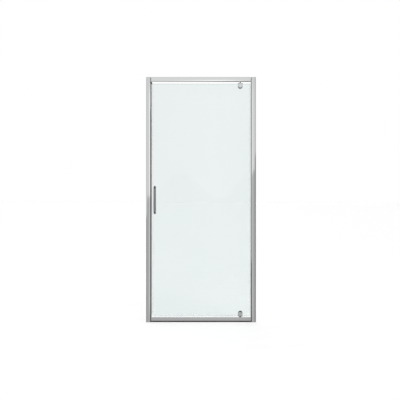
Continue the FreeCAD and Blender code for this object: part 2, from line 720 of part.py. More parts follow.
# ---------------------------------------------------------------- clamps
def clamp_corners(edge_z, way, side=0.0, end=0.0, lip=CLAMP_LIP):
    """D outline: straight past the glass edge, half round at the far end. way points into the glass.

    side draws in the two sides and the straight end, and end draws in the round one.
    """
    half = CLAMP_WIDTH / 2 - side
    near, far = edge_z - way * (lip - side), edge_z + way * (CLAMP_HEIGHT - CLAMP_LIP - end)
    return [
        (PIVOT_X - half, near), (PIVOT_X + half, near),
        (PIVOT_X + half, far, half * ALMOST), (PIVOT_X - half, far, half * ALMOST),
    ]


def clamp_plate(edge_z, way, side, thick, relief):
    """Plate on the side of the glass that side names, with a bevel that widens round its nose.

    relief is the width of the slot in the lip that the pivot pin stands in.
    """
    seat, shoulder, face = [side * (GASKET_FACE + d) for d in (0, thick - CLAMP_BEVEL_DEPTH, thick)]
    outer, inner = clamp_corners(edge_z, way), clamp_corners(edge_z, way, CLAMP_BEVEL, CLAMP_NOSE_BEVEL)
    base = outline(outer, lambda x, z: V(x, shoulder, z))
    top = outline(inner, lambda x, z: V(x, face, z))
    plate = Part.makeLoft([base, top], True, True).fuse(through(outer, *sorted((seat, shoulder))))
    if relief == 0:
        return plate
    half = relief / 2
    slot = oblong(PIVOT_X - half, PIVOT_X + half, edge_z - way * (CLAMP_LIP + OVERRUN), edge_z)
    return plate.cut(through(slot, *sorted((seat - side * OVERRUN, face + side * OVERRUN))))


def clamp_screw_places(edge_z, way):
    z = edge_z + way * CLAMP_SCREW_INSET
    return [(PIVOT_X + dx, z) for dx in (-CLAMP_SCREW_SPACING / 2, CLAMP_SCREW_SPACING / 2)]


def clamp_screw_length():
    return CLAMP_INNER_THICK + 2 * GASKET_FACE + CLAMP_THREAD


def clamp_outer(edge_z, way, relief=0.0):
    """Chromed plate on the outside, with blind threaded holes behind."""
    plate = clamp_plate(edge_z, way, -1, CLAMP_THICK, relief)
    holes = [
        rod(CLAMP_SCREW + 2 * RUN_FIT, V(x, -GASKET_FACE, z), V(0, -CLAMP_THREAD - OVERRUN, 0))
        for x, z in clamp_screw_places(edge_z, way)
    ]
    return plate.cut(holes)


def clamp_inner(edge_z, way, relief=0.0):
    """Chromed plate on the shower side, countersunk for the clamp screws."""
    face = GASKET_FACE + CLAMP_INNER_THICK
    plate = clamp_plate(edge_z, way, 1, CLAMP_INNER_THICK, relief)
    profile = sunk_profile(CLAMP_SCREW, CLAMP_SCREW_HEAD, clamp_screw_length(), RUN_FIT)
    return plate.cut([
        turned(profile, V(x, face, z), V(0, -1, 0)) for x, z in clamp_screw_places(edge_z, way)
    ])


def clamp_screws(edge_z, way):
    face = GASKET_FACE + CLAMP_INNER_THICK
    profile = sunk_profile(CLAMP_SCREW, CLAMP_SCREW_HEAD, clamp_screw_length())
    return [turned(profile, V(x, face, z), V(0, -1, 0)) for x, z in clamp_screw_places(edge_z, way)]


def notch_corners(edge_z, way, fit=0.0, overrun=0.0):
    """The notch in the glass edge, or with a fit the core that sits in it."""
    half = NOTCH_WIDTH / 2 - fit
    near, far = edge_z - way * overrun, edge_z + way * (NOTCH_DEPTH - fit)
    return [
        (PIVOT_X - half, near), (PIVOT_X + half, near),
        (PIVOT_X + half, far, NOTCH_CORNER), (PIVOT_X - half, far, NOTCH_CORNER),
    ]


def notch(edge_z, way, y0, y1):
    return through(notch_corners(edge_z, way, overrun=OVERRUN), y0 - OVERRUN, y1 + OVERRUN)


def clamp_gaskets(edge_z, way):
    """Soft pads between the clamp plates and the two faces of the glass."""
    pads = []
    for side in (-1, 1):
        y0, y1 = sorted((side * GLASS_HALF, side * GASKET_FACE))
        pad = through(clamp_corners(edge_z, way, GASKET_MARGIN, GASKET_MARGIN, 0.0), y0, y1)
        pads.append(pad.cut(notch(edge_z, way, y0, y1)))
    return pads


def pivot_core(edge_z, way):
    """Block in the glass notch that the pin grows out of."""
    core = through(notch_corners(edge_z, way, CORE_FIT), -GASKET_FACE, GASKET_FACE)
    start, bore = -GASKET_FACE - OVERRUN, V(0, 2 * (GASKET_FACE + OVERRUN), 0)
    return core.cut([
        rod(CLAMP_SCREW + 2 * SEAT_GAP, V(x, start, z), bore) for x, z in clamp_screw_places(edge_z, way)
    ])


def head_spindle():
    """Upper core and its pin, necked between the clamp's lips, which runs up into the head rail's bush."""
    reach = HEAD_UNDER + PIN_ENTRY - GLASS_TOP
    radius, neck = PIN / 2, CLAMP_LIP + SEAT_GAP
    root = min(radius, GASKET_FACE)
    profile = [
        (0, -PIN_ROOT), (root, -PIN_ROOT), (root, neck), (radius, neck),
        (radius, reach - PIN_POINT), (radius - PIN_POINT, reach), (0, reach),
    ]
    return pivot_core(GLASS_TOP, -1).fuse(turned(profile, V(PIVOT_X, 0, GLASS_TOP), V(0, 0, 1)))


def sill_spindle():
    """Lower core, stem, load collar and pin, which runs down into the sill's bush."""
    collar_z = GLASS_BOTTOM - (SILL_TOP + BUSH_FLANGE_THICK + WASHER_THICK + RUN_FIT)
    reach = GLASS_BOTTOM - SILL_TOP + PIN_ENTRY
    stem, collar, pin = PIN_STEM / 2, COLLAR / 2, PIN / 2
    root = min(stem, GASKET_FACE)
    shoulder = collar_z - COLLAR_HEIGHT
    profile = [
        (0, -PIN_ROOT), (root, -PIN_ROOT), (root, 0), (stem, 0), (stem, shoulder), (collar, shoulder),
        (collar, collar_z), (pin, collar_z), (pin, reach - PIN_POINT), (pin - PIN_POINT, reach), (0, reach),
    ]
    return pivot_core(GLASS_BOTTOM, 1).fuse(turned(profile, V(PIVOT_X, 0, GLASS_BOTTOM), V(0, 0, -1)))


# ---------------------------------------------------------------- glass and its seals
def glass_panel():
    """Toughened leaf with arrised edges, a notch for each pivot core and two handle holes."""
    leaf = through(
        oblong(GLASS_LEFT, GLASS_RIGHT, GLASS_BOTTOM, GLASS_TOP, GLASS_CORNER), -GLASS_HALF, GLASS_HALF
    )
    leaf = leaf.makeChamfer(GLASS_ARRIS, [
        e for e in leaf.Edges if abs(e.Vertexes[0].Y - e.Vertexes[-1].Y) < 1e-6
    ])
    cuts = [
        notch(edge, way, -GLASS_HALF, GLASS_HALF) for edge, way in ((GLASS_TOP, -1), (GLASS_BOTTOM, 1))
    ]
    start, bore = -GLASS_HALF - OVERRUN, V(0, GLASS + 2 * OVERRUN, 0)
    cuts += [rod(GLASS_HOLE, V(HANDLE_X, start, z), bore) for z in POST_HEIGHTS]
    return leaf.cut(cuts)


def magnet_seal():
    """PVC seal pushed on the handle edge, with a box for the door's magnet at its tip."""
    box = DOOR_MAGNET_BOX_WIDTH / 2
    base = GLASS_LEFT - SEAL_BASE
    tip, end = base - DOOR_MAGNET_BOX, GLASS_LEFT + SEAL_LEG
    half = [
        (GLASS_LEFT - SEAL_FIT, -CLIP_SLOT), (end, -CLIP_SLOT), (end, -CLIP_LEG, ROUND),
        (base + SEAL_SHOULDER, -CLIP_LEG), (base, -box), (tip, -box, CARRIER_EDGE),
    ]
    seal = upright(both_signs(half), GLASS_BOTTOM, GLASS_TOP)
    return seal.cut(magnet_bar(tip + MAGNET_SKIN, 1, GLASS_BOTTOM - OVERRUN, GLASS_TOP + OVERRUN, RUN_FIT))


def door_magnet():
    tip = GLASS_LEFT - SEAL_BASE - DOOR_MAGNET_BOX
    return magnet_bar(tip + MAGNET_SKIN, 1, GLASS_BOTTOM, GLASS_TOP)


def tail_seal():
    """PVC seal on the tail edge, with a hollow bulb towards the pivot jamb."""
    base, end = GLASS_RIGHT + SEAL_BASE, GLASS_RIGHT - SEAL_LEG
    half = [
        (GLASS_RIGHT + SEAL_FIT, -CLIP_SLOT), (end, -CLIP_SLOT), (end, -CLIP_LEG, ROUND),
        (base, -CLIP_LEG, ROUND),
    ]
    clip = upright(both_signs(half), GLASS_BOTTOM, GLASS_TOP)
    axis = V(base + (BULB - BULB_WALL) / 2, 0, GLASS_BOTTOM)
    return clip.fuse(ring(BULB, BULB - 2 * BULB_WALL, axis, V(0, 0, GLASS_TOP - GLASS_BOTTOM)))


def drip_seal(x0, x1):
    """PVC seal under the leaf: a clip, a wiper over the sill and a fin that throws water back in."""
    top, under, seat = GLASS_BOTTOM + SEAL_LEG, GLASS_BOTTOM - SEAL_BASE, GLASS_BOTTOM - SEAL_FIT
    wiper, low = DRIP_WIPER / 2, SILL_TOP + DRIP_CLEAR
    fin_z = GLASS_BOTTOM - DRIP_FIN_DROP
    return lengthways(
        [
            (-CLIP_LEG, top, ROUND), (-CLIP_LEG, under, ROUND), (-wiper, under), (-wiper, low),
            (wiper, low), (wiper, under), (CLIP_SLOT, under), (DRIP_FIN_REACH - ROUND, fin_z),
            (DRIP_FIN_REACH, fin_z + DRIP_FIN_TIP), (CLIP_LEG, seat + ROUND), (CLIP_LEG, top, ROUND),
            (CLIP_SLOT, top), (CLIP_SLOT, seat), (-CLIP_SLOT, seat), (-CLIP_SLOT, top),
        ],
        x0, x1,
    )


# ---------------------------------------------------------------- handle
def handle_half(z, way):
    """Half of the pull: its leg at height z, one bend and the grip up to the handle's middle."""
    turn_y, turn_z = HANDLE_GRIP_Y + HANDLE_BEND, z + way * HANDLE_BEND
    leg = rod(HANDLE_ROD, V(HANDLE_X, HANDLE_LEG_Y, z), V(0, turn_y - HANDLE_LEG_Y, 0))
    grip = rod(HANDLE_ROD, V(HANDLE_X, HANDLE_GRIP_Y, turn_z), V(0, 0, HANDLE_HEIGHT - turn_z))
    section = Part.Wire(Part.makeCircle(HANDLE_ROD / 2, V(HANDLE_X, turn_y, z), V(0, 1, 0)))
    bend = Part.Face(section).revolve(V(HANDLE_X, turn_y, turn_z), V(way, 0, 0), -QUARTER_TURN)
    return leg.fuse([bend, grip])


def handle_bar():
    """D-shaped pull bent from one round rod, tapped in the end of each leg."""
    low, high = POST_HEIGHTS
    depth = V(0, -BOLT_ENTRY - OVERRUN, 0)
    holes = [rod(BOLT + 2 * RUN_FIT, V(HANDLE_X, HANDLE_LEG_Y, z), depth) for z in POST_HEIGHTS]
    return handle_half(low, 1).fuse(handle_half(high, -1)).cut(holes)


def handle_post(z):
    """Turned collar between the glass and one leg, with a wider foot."""
    foot = V(HANDLE_X, -GLASS_HALF - HANDLE_WASHER, z)
    profile = [
        (0, 0), (POST_FOOT / 2, 0), (POST_FOOT / 2, POST_FOOT_HEIGHT),
        (POST / 2, POST_FOOT_HEIGHT + POST_TAPER), (POST / 2, POST_LENGTH), (0, POST_LENGTH),
    ]
    hole = rod(BOLT + 2 * BOLT_FIT, foot, V(0, -POST_LENGTH, 0))
    return turned(profile, foot, V(0, -1, 0)).cut(hole)


def handle_washer(z):
    """Nylon washer under the inner button."""
    start, way = V(HANDLE_X, GLASS_HALF, z), V(0, HANDLE_WASHER, 0)
    return ring(POST_FOOT, BOLT + 2 * BOLT_FIT, start, way)


def handle_sleeve(z):
    """Nylon sleeve that keeps the bolt off the glass, with a flange under the collar's foot."""
    hole, outer, flange = BOLT / 2 + BOLT_FIT, GLASS_HOLE / 2 - BOLT_FIT, POST_FOOT / 2
    profile = [
        (hole, -HANDLE_WASHER), (flange, -HANDLE_WASHER), (flange, 0), (outer, 0), (outer, GLASS),
        (hole, GLASS),
    ]
    return turned(profile, V(HANDLE_X, -GLASS_HALF, z), V(0, 1, 0))


def bolt_head_seat():
    """Where the bolt's head stands, as a distance into the shower from the glass plane."""
    return GLASS_HALF + HANDLE_WASHER + INNER_CAP_HEIGHT - BOLT_HEAD_HEIGHT


def inner_cap(z):
    """Chromed button on the shower side, counterbored for the bolt's head."""
    base = V(HANDLE_X, GLASS_HALF + HANDLE_WASHER, z)
    edge, outer = INNER_CAP_EDGE, POST_FOOT / 2
    profile = [
        (0, 0), (outer, 0), (outer, INNER_CAP_HEIGHT - edge), (outer - edge, INNER_CAP_HEIGHT),
        (0, INNER_CAP_HEIGHT),
    ]
    cuts = [
        rod(BOLT + 2 * BOLT_FIT, base, V(0, INNER_CAP_HEIGHT, 0)),
        rod(BOLT_HEAD + 2 * BOLT_FIT, V(HANDLE_X, bolt_head_seat(), z), V(0, BOLT_HEAD_HEIGHT + OVERRUN, 0)),
    ]
    return turned(profile, base, V(0, 1, 0)).cut(cuts)


def handle_bolt(z):
    """Socket-head bolt from the shower side into the handle's leg."""
    seat = bolt_head_seat()
    length = seat - HANDLE_LEG_Y + BOLT_ENTRY
    head, shank = BOLT_HEAD / 2, BOLT / 2
    profile = [
        (0, -BOLT_HEAD_HEIGHT), (head, -BOLT_HEAD_HEIGHT), (head, 0), (shank, 0), (shank, length),
        (0, length),
    ]
    start = V(HANDLE_X, seat + BOLT_HEAD_HEIGHT + OVERRUN, z)
    socket = hexagon(BOLT_SOCKET, BOLT_SOCKET_DEPTH + OVERRUN, start, V(0, -1, 0))
    return turned(profile, V(HANDLE_X, seat, z), V(0, -1, 0)).cut(socket)


# ---------------------------------------------------------------- the whole door
def build_frame():
    save("strike_jamb", strike_jamb())
    save("pivot_jamb", mirrored(jamb()))
    save("head_rail", head_rail())
    save("sill_rail", sill_rail())
    save("sill_seal", sill_seal())
    save("strike_magnet_carrier", magnet_carrier())
    save("strike_magnet", strike_magnet())
    save("pivot_jamb_filler", mirrored(groove_filler()))
    save("stop_block_top", horned_stop_block(STOP_TOP_Z, GLASS_TOP))
    save("stop_block_sill", stop_block(STOP_SILL_Z, STOP_FLUSH))
    save("jamb_caps", jamb_cap(), mirrored(jamb_cap()))
    save("corner_screws", *corner_screws())


def build_bearings():
    save("head_bearing_block", bearing_block(HEAD_UNDER, 1, HEAD_PORT_Z, 0))
    save("head_bearing_bush", bearing_bush(HEAD_UNDER, 1))
    save("head_bearing_screws", *bearing_screws(HEAD_UNDER, 1))
    save("sill_bearing_block", bearing_block(SILL_TOP, -1, SILL_PORT_Z, SILL_FALL))
    save("sill_bearing_bush", bearing_bush(SILL_TOP, -1))
    save("sill_bearing_screws", *bearing_screws(SILL_TOP, -1))
    save("thrust_washer", thrust_washer())


def build_walls():
    covers = [adjuster_cover(z) for z in ADJUST_HEIGHTS]
    save("wall_channel_left", wall_channel())
    save("channel_cap_left", channel_cap())
    save("adjuster_covers_left", *covers)
    save("adjuster_screws_left", *adjuster_screws())
    save("wall_channel_right", mirrored(wall_channel()))
    save("channel_cap_right", mirrored(channel_cap()))
    save("adjuster_covers_right", *[mirrored(c) for c in covers])
    save("adjuster_screws_right", *[mirrored(s) for s in adjuster_screws()])


def build_leaf():
    save("glass_panel", glass_panel())
    save("door_magnet_seal", magnet_seal())
    save("door_magnet", door_magnet())
    save("tail_seal", tail_seal())
    past_clamp = CLAMP_WIDTH / 2 + SEAL_END_GAP
    past_leg = SEAL_LEG + SEAL_END_GAP
    save("drip_seal_long", drip_seal(GLASS_LEFT + past_leg, PIVOT_X - past_clamp))
    save("drip_seal_tail", drip_seal(PIVOT_X + past_clamp, GLASS_RIGHT - past_leg))
    stem_slot = PIN_STEM + 2 * SLOT_FIT
    for name, edge, way, relief in (("head", GLASS_TOP, -1, 0.0), ("sill", GLASS_BOTTOM, 1, stem_slot)):
        save(f"{name}_clamp_outer", clamp_outer(edge, way, relief))
        save(f"{name}_clamp_inner", clamp_inner(edge, way, relief))
        save(f"{name}_clamp_gaskets", *clamp_gaskets(edge, way))
        save(f"{name}_clamp_screws", *clamp_screws(edge, way))
    save("head_pivot_spindle", head_spindle())
    save("sill_pivot_spindle", sill_spindle())


def build_handle():
    save("handle_bar", handle_bar())
    save("handle_posts", *[handle_post(z) for z in POST_HEIGHTS])
    save("handle_washers", *[handle_washer(z) for z in POST_HEIGHTS])
    save("handle_sleeves", *[handle_sleeve(z) for z in POST_HEIGHTS])
    save("handle_inner_caps", *[inner_cap(z) for z in POST_HEIGHTS])
    save("handle_bolts", *[handle_bolt(z) for z in POST_HEIGHTS])


os.makedirs("parts", exist_ok=True)
build_frame()
build_bearings()
build_walls()
build_leaf()
build_handle()
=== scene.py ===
"""Studio picture of a framed pivot shower door: bright aluminium profiles, a clear glass leaf,
a pull handle and two pivots."""

import math

import bmesh
import bpy
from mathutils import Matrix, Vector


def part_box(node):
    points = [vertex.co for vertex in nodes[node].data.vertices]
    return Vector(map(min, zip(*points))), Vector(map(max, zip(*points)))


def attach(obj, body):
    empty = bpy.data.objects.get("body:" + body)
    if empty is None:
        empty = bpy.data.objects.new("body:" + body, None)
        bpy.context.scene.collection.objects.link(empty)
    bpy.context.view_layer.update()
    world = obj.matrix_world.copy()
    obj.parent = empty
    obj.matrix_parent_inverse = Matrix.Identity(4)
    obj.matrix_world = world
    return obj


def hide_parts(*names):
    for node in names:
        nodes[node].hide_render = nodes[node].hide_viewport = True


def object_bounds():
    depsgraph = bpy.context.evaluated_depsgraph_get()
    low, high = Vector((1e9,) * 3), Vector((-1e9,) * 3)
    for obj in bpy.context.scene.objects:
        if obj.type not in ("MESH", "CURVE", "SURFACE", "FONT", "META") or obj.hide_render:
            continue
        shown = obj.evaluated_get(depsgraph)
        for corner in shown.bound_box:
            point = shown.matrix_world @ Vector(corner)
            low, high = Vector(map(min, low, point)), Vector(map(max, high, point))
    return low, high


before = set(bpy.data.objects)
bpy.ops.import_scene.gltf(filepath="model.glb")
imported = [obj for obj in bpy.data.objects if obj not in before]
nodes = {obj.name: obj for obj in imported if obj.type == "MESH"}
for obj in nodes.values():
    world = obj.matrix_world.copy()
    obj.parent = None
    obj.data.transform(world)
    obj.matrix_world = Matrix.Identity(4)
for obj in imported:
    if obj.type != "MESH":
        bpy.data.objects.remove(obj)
cad_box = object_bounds()

MM = 0.001

# ------------------------------------------------------ camera, in the photograph's frame
PHOTO = 400                     # pixels, both ways
DOOR_MIDDLE = 201.0             # column of the door's middle
DOOR_TOP, DOOR_FOOT = 76.97, 322.28     # rows of its highest and lowest edges
CAMERA_DISTANCE = 4.6           # m, from the front of the wall channels
SENSOR = 36.0                   # mm
FAR_AWAY = 200.0                # m, where the floor and the view end


def place_camera():
    """Square on and level, so that the door fills the same pixels as in the photograph."""
    lowest, highest = cad_box
    pixel = (highest[2] - lowest[2]) / (DOOR_FOOT - DOOR_TOP)
    lens = bpy.data.cameras.new("camera")
    lens.sensor_width = SENSOR
    lens.lens = SENSOR * CAMERA_DISTANCE / (PHOTO * pixel)
    lens.clip_end = FAR_AWAY
    camera = bpy.data.objects.new("camera", lens)
    across = (lowest[0] + highest[0]) / 2 + (PHOTO / 2 - DOOR_MIDDLE) * pixel
    door_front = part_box("wall_channel_left")[0].y
    height = lowest[2] + (DOOR_FOOT - PHOTO / 2) * pixel
    camera.location = (across, door_front - CAMERA_DISTANCE, height)
    camera.rotation_euler = (math.radians(90), 0, 0)
    bpy.context.scene.collection.objects.link(camera)
    bpy.context.scene.camera = camera


# ------------------------------------------------------ colours and nodes
NOISE_LOW, NOISE_HIGH = 0.3, 0.7    # noise seldom leaves this range


def linear(code):
    """A colour written as sRGB hex, as the linear values that shaders use."""
    channels = [int(code[i:i + 2], 16) / 255 for i in (1, 3, 5)]
    bent = [c / 12.92 if c <= 0.04045 else ((c + 0.055) / 1.055) ** 2.4 for c in channels]
    return (*bent, 1.0)


def tints(dark, light):
    """Ramp stops that turn noise into a drift from one colour to another."""
    return [(NOISE_LOW, linear(dark)), (NOISE_HIGH, linear(light))]


def add(tree, kind, inputs=None, stops=(), **settings):
    """One node with its settings, links and ramp stops. An input is a number, a colour or a socket.

    Sockets go by name, or by number where several share one: a Math node's values are 0 to 2, and
    a Mix node has its factor at 0, two numbers at 2 and 3, or two colours at 6 and 7 and out at 2.
    """
    made = tree.nodes.new("ShaderNode" + kind)
    for name, value in settings.items():
        setattr(made, name, value)
    for name, value in (inputs or {}).items():
        if isinstance(value, bpy.types.NodeSocket):
            tree.links.new(value, made.inputs[name])
        else:
            made.inputs[name].default_value = value
    for place, (position, shade) in enumerate(stops):
        marks = made.color_ramp.elements
        mark = marks[place] if place < 2 else marks.new(position)   # a new ramp has two
        mark.position = position
        mark.color = shade if isinstance(shade, tuple) else (shade, shade, shade, 1.0)
    return made


def begin(name):
    """A new material with an empty node tree."""
    material = bpy.data.materials.new(name)
    material.use_nodes = True
    material.node_tree.nodes.clear()
    return material, material.node_tree


# ------------------------------------------------------ the studio that polished faces mirror
# Each table gives the studio's brightness all the way round the door, by how many degrees a level
# reflection points away from the front, left negative. Seen from the camera, flat faces mirror
# about 5 degrees to their own side. The channels' sloping bands mirror 2 degrees at their inner
# edges and 12 at their outer ones, and the jambs' bevels 30 to 34. A ramp holds 32 stops at most.
ABOVE = [
    (-180, 0.84), (-165, 0.60), (-130, 0.50), (-120, 0.26), (-90, 0.26), (-65, 0.28),
    (-58, 0.45), (-37, 0.50), (-34, 0.34), (-30, 0.34), (-27, 0.50), (-16, 0.60), (-12, 0.64),
    (-5, 0.76), (5, 0.74), (12, 0.54), (16, 0.60), (27, 0.50), (30, 0.30), (34, 0.30), (37, 0.50),
    (58, 0.45), (65, 0.26), (90, 0.36), (100, 0.28), (120, 0.26), (130, 0.50), (165, 0.50),
    (180, 0.84),
]
BELOW = [
    (-180, 0.27), (-176.6, 0.38), (-165, 0.40), (-130, 0.40), (-122, 0.10), (-88, 0.12),
    (-65, 0.12), (-58, 0.40), (-37, 0.40), (-34, 0.08), (-30, 0.08), (-27, 0.40), (-16, 0.42),
    (-12, 0.28), (-5, 0.48), (5, 0.47), (12, 0.16), (16, 0.40), (27, 0.36), (30, 0.08), (34, 0.08),
    (37, 0.36), (58, 0.36), (65, 0.12), (90, 0.18), (122, 0.06), (130, 0.30), (160, 0.30),
    (170, 0.06), (176.8, 0.04), (177.7, 0.12), (180, 0.27),
]

# The white floor round the door's foot, mirrored when the door is seen from higher up. Here and
# below, a height is that of a reflection's direction: 0 is level, and 1 straight up.
NEAR_FLOOR = [
    (-180, 0.40), (-165, 0.60), (-126, 0.60), (-119, 0.08), (-70, 0.08), (-63, 0.60), (-16, 0.62),
    (-10, 0.35), (10, 0.35), (16, 0.62), (63, 0.60), (70, 0.06), (119, 0.06), (126, 0.60),
    (165, 0.60), (180, 0.40),
]
NEAR_FLOOR_START, NEAR_FLOOR_FULL = 0.22, 0.3   # depths under the level

# A narrow lamp that the channels' inner bands catch: its share by direction, and its brightness.
LAMP = [(-5, 0.0), (-2, 0.25), (0, 0.6), (2, 1.0), (3.4, 0.55), (5, 0.0)]
LAMP_ABOVE, LAMP_BELOW = 0.42, 0.30
LAMP_FULL, LAMP_END = 0.17, 0.2     # heights up to which it is full, and where it ends

# The line between ABOVE and BELOW rises to the right, so it crosses the right channel higher than
# the left one, and it has steps where a channel's bands show it off the line of its face.
HORIZON_LIFT, HORIZON_TILT = 0.024, 0.239
HORIZON_BLUR = 0.0015
HORIZON_STEPS = [               # 0.5 is on the plain tilted line, and more is above it
    (-180, 0.5), (-8, 0.5), (-6, 0.52), (-4, 0.52), (-3.2, 0.78), (-1, 0.78), (0, 0.5), (1, 0.22),
    (3.2, 0.22), (4.2, 0.54), (6, 0.54), (8, 0.5), (180, 0.5),
]
HORIZON_STEP_SIZE = 0.1         # what a step from 0 to 1 comes to in height

# Light added by height, where the sill rail's sloping band looks.
BAND_LIGHT = [(0.0, 0.0), (0.25, 0.0), (0.29, 0.05), (0.38, 0.05), (0.46, 0.0)]

# Steeper than these heights the studio is dark, as the clamps' round ends show it, but for light
# from straight down and from the upper left.
STEEP_START, STEEP_FULL = 0.44, 0.62
STEEP_DARK = 0.02
STEEP_DOWN, STEEP_DOWN_REACH = 0.42, 0.35   # brightness, and how far to the sides it lasts
STEEP_UP_LEFT = 0.2

MATT_SHARE = 0.3                # how much of the studio reaches matt surfaces, which the suns light


def build_world():
    """White behind the door, and for mirrors a studio, bright in front and dim at the sides."""
    world = bpy.data.worlds.new("studio")
    bpy.context.scene.world = world
    world.use_nodes = True
    tree = world.node_tree
    tree.nodes.clear()

    # Which way a ray goes: how far round from the front, and how high or low.
    x, y, z = add(tree, "SeparateXYZ", {0: add(tree, "TexCoord").outputs["Generated"]}).outputs
    ahead = add(tree, "Math", {0: y, 1: -1.0}, operation="MULTIPLY").outputs[0]
    turn = add(tree, "Math", {0: x, 1: ahead}, operation="ARCTAN2").outputs[0]
    way_round = add(tree, "MapRange", {
        0: turn, "From Min": -math.pi, "From Max": math.pi,
    }).outputs[0]
    height = add(tree, "Math", {0: z}, operation="ABSOLUTE").outputs[0]
    above, below, near_floor, lamp, step = [
        add(tree, "ValToRGB", {0: way_round}, [
            (degrees / 360 + 0.5, level) for degrees, level in table
        ]).outputs[0]
        for table in (ABOVE, BELOW, NEAR_FLOOR, LAMP, HORIZON_STEPS)
    ]

    # The lamp, added both above and below the horizon.
    lamp_height = add(tree, "MapRange", {
        0: height, "From Min": LAMP_END, "From Max": LAMP_FULL,
    }).outputs[0]
    lit = add(tree, "Math", {0: lamp, 1: lamp_height}, operation="MULTIPLY").outputs[0]
    high, low = [
        add(tree, "Math", {0: lit, 1: power, 2: unlit}, operation="MULTIPLY_ADD").outputs[0]
        for power, unlit in ((LAMP_ABOVE, above), (LAMP_BELOW, below))
    ]

    # The tilted and stepped horizon, and the floor at the door's foot.
    tilted = add(tree, "Math", {
        0: x, 1: -HORIZON_TILT, 2: z,
    }, operation="MULTIPLY_ADD").outputs[0]
    stepped = add(tree, "Math", {
        0: step, 1: -HORIZON_STEP_SIZE, 2: tilted,
    }, operation="MULTIPLY_ADD").outputs[0]
    horizon = HORIZON_LIFT - HORIZON_STEP_SIZE / 2
    over = add(tree, "MapRange", {
        0: stepped, "From Min": horizon - HORIZON_BLUR, "From Max": horizon + HORIZON_BLUR,
    }, interpolation_type="SMOOTHSTEP").outputs[0]
    floor_share = add(tree, "MapRange", {
        0: z, "From Min": -NEAR_FLOOR_START, "From Max": -NEAR_FLOOR_FULL,
    }).outputs[0]
    low = add(tree, "Mix", {0: floor_share, 2: low, 3: near_floor}, data_type="FLOAT").outputs[0]
    room = add(tree, "Mix", {0: over, 2: low, 3: high}, data_type="FLOAT").outputs[0]
    band_light = add(tree, "ValToRGB", {0: height}, BAND_LIGHT).outputs[0]
    room = add(tree, "Math", {0: room, 1: band_light}, operation="ADD").outputs[0]

    # Steeply up and down.
    aside = add(tree, "Math", {0: x}, operation="ABSOLUTE").outputs[0]
    down = add(tree, "MapRange", {
        0: aside, "From Max": STEEP_DOWN_REACH, "To Min": STEEP_DOWN, "To Max": STEEP_DARK,
    }).outputs[0]
    up = add(tree, "MapRange", {
        0: x, "From Min": -1.0, "From Max": 0.0, "To Min": STEEP_UP_LEFT, "To Max": STEEP_DARK,
    }).outputs[0]
    is_up = add(tree, "Math", {0: z, 1: 0.0}, operation="GREATER_THAN").outputs[0]
    dark = add(tree, "Mix", {0: is_up, 2: down, 3: up}, data_type="FLOAT").outputs[0]
    steep = add(tree, "MapRange", {
        0: height, "From Min": STEEP_START, "From Max": STEEP_FULL,
    }).outputs[0]
    level = add(tree, "Mix", {0: steep, 2: room, 3: dark}, data_type="FLOAT").outputs[0]

    # Mirrors see the studio, and the camera sees plain white, also through the glass.
    path = add(tree, "LightPath")
    strength = add(tree, "MapRange", {
        0: path.outputs["Is Diffuse Ray"], "To Min": 1.0, "To Max": MATT_SHARE,
    }).outputs[0]
    studio = add(tree, "Background", {"Color": level, "Strength": strength})
    white = add(tree, "Background", {"Color": (1, 1, 1, 1), "Strength": 1.0})
    direct = add(tree, "Math", {
        0: path.outputs["Is Camera Ray"], 1: path.outputs["Is Transmission Ray"],
    }, operation="MAXIMUM").outputs[0]
    seen = add(tree, "MixShader", {0: direct, 1: studio.outputs[0], 2: white.outputs[0]})
    add(tree, "OutputWorld", {0: seen.outputs[0]})


# ------------------------------------------------------ suns and floor
SUNS = [                        # name, lean, turn and spread in degrees, strength, shadows
    ("overhead", 0, 0, 80, 0.3, True),
    ("fill", 0, 0, 80, 2.42, False),
    ("front", 60, 20, 50, 0.5, True),
    ("behind", 60, 200, 50, 0.4, False),
]
CLEAR_NODES = ("glass_panel", "door_magnet_seal", "tail_seal", "drip_seal_long", "drip_seal_tail")
FLOOR_DRIFT = 167.0             # mm, the slow changes of shade in a painted floor


def soft_sun(name, lean, turn, spread, strength, casts):
    """A broad lamp far away for matt pieces and the floor, which bright pieces don't mirror."""
    sun = bpy.data.lights.new(name, "SUN")
    sun.angle = math.radians(spread)
    sun.energy = strength
    sun.use_shadow = casts
    held = bpy.data.objects.new(name, sun)
    held.rotation_euler = (math.radians(lean), 0, math.radians(turn))
    held.visible_glossy = False
    held.visible_transmission = False
    bpy.context.scene.collection.objects.link(held)


def light_studio():
    """Every sun, and no shadows from the clear pieces, which would be as dark as a solid's."""
    for sun in SUNS:
        soft_sun(*sun)
    for name in CLEAR_NODES:
        nodes[name].visible_shadow = False


def lay_floor():
    """White matt painted floor that runs to the horizon and ends in the white behind it."""
    bpy.ops.object.select_all(action="DESELECT")
    bpy.ops.mesh.primitive_plane_add(size=2 * FAR_AWAY, location=(0, 0, 0))
    floor = bpy.context.object
    floor.name = "floor"
    material, tree = begin("white_painted_floor")
    place = add(tree, "TexCoord").outputs["Object"]
    drift = add(tree, "TexNoise", {"Vector": place, "Scale": 1 / (FLOOR_DRIFT * MM)}).outputs[0]
    tint = add(tree, "ValToRGB", {0: drift}, tints("#FCFCFC", "#FFFFFF")).outputs[0]
    shader = add(tree, "BsdfPrincipled", {
        "Base Color": tint, "Roughness": 0.7, "Specular IOR Level": 0.2,
    })
    add(tree, "OutputMaterial", {0: shader.outputs[0]})
    floor.data.materials.append(material)
    floor.visible_glossy = False


